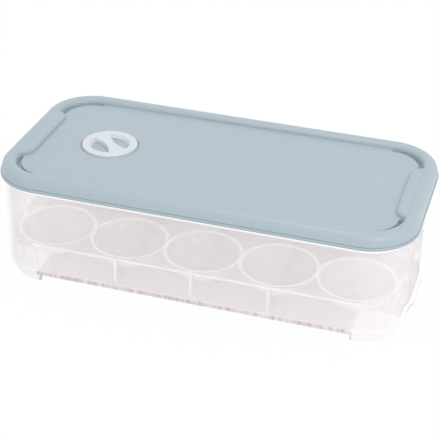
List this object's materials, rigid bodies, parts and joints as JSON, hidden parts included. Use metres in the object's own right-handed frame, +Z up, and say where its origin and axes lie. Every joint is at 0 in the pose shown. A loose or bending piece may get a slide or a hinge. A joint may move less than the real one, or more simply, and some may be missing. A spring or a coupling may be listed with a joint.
{
  "type": "egg storage container",
  "caption": "Footed frosted box with a lift-out tray of round egg cups, a press-on rimmed lid with end finger tabs, and a turning dial set into the lid.",
  "frame": {"origin": "centre of the footprint, on the surface that the four corner feet stand on", "axes": "+X along the length, with the dial towards -X; +Y from front to back; +Z up, the way the lid and the tray lift out"},
  "size_m": [0.27, 0.1336, 0.0782],
  "materials": {
    "frosted_plastic": "frosted, translucent",
    "tray_plastic": "frosted, translucent",
    "lid_plastic": "satin",
    "dial_plastic": "satin"
  },
  "bodies": {
    "box": {"base_box": "frosted_plastic"},
    "tray": {"egg_tray": "tray_plastic"},
    "lid": {"lid": "lid_plastic"},
    "dial": {"time_dial": "dial_plastic"}
  },
  "joints": [
    {"name": "tray_lift", "type": "slide", "parent": "box", "child": "tray", "axis": [0, 0, 1], "range_m": [0, 0.09]},
    {"name": "lid_lift", "type": "slide", "parent": "tray", "child": "lid", "axis": [0, 0, 1], "range_m": [0, 0.12]},
    {"name": "dial_turn", "type": "hinge", "parent": "lid", "child": "dial", "pos_m": [-0.076, 0, 0.075], "axis": [0, 0, 1], "continuous": true}
  ]
}
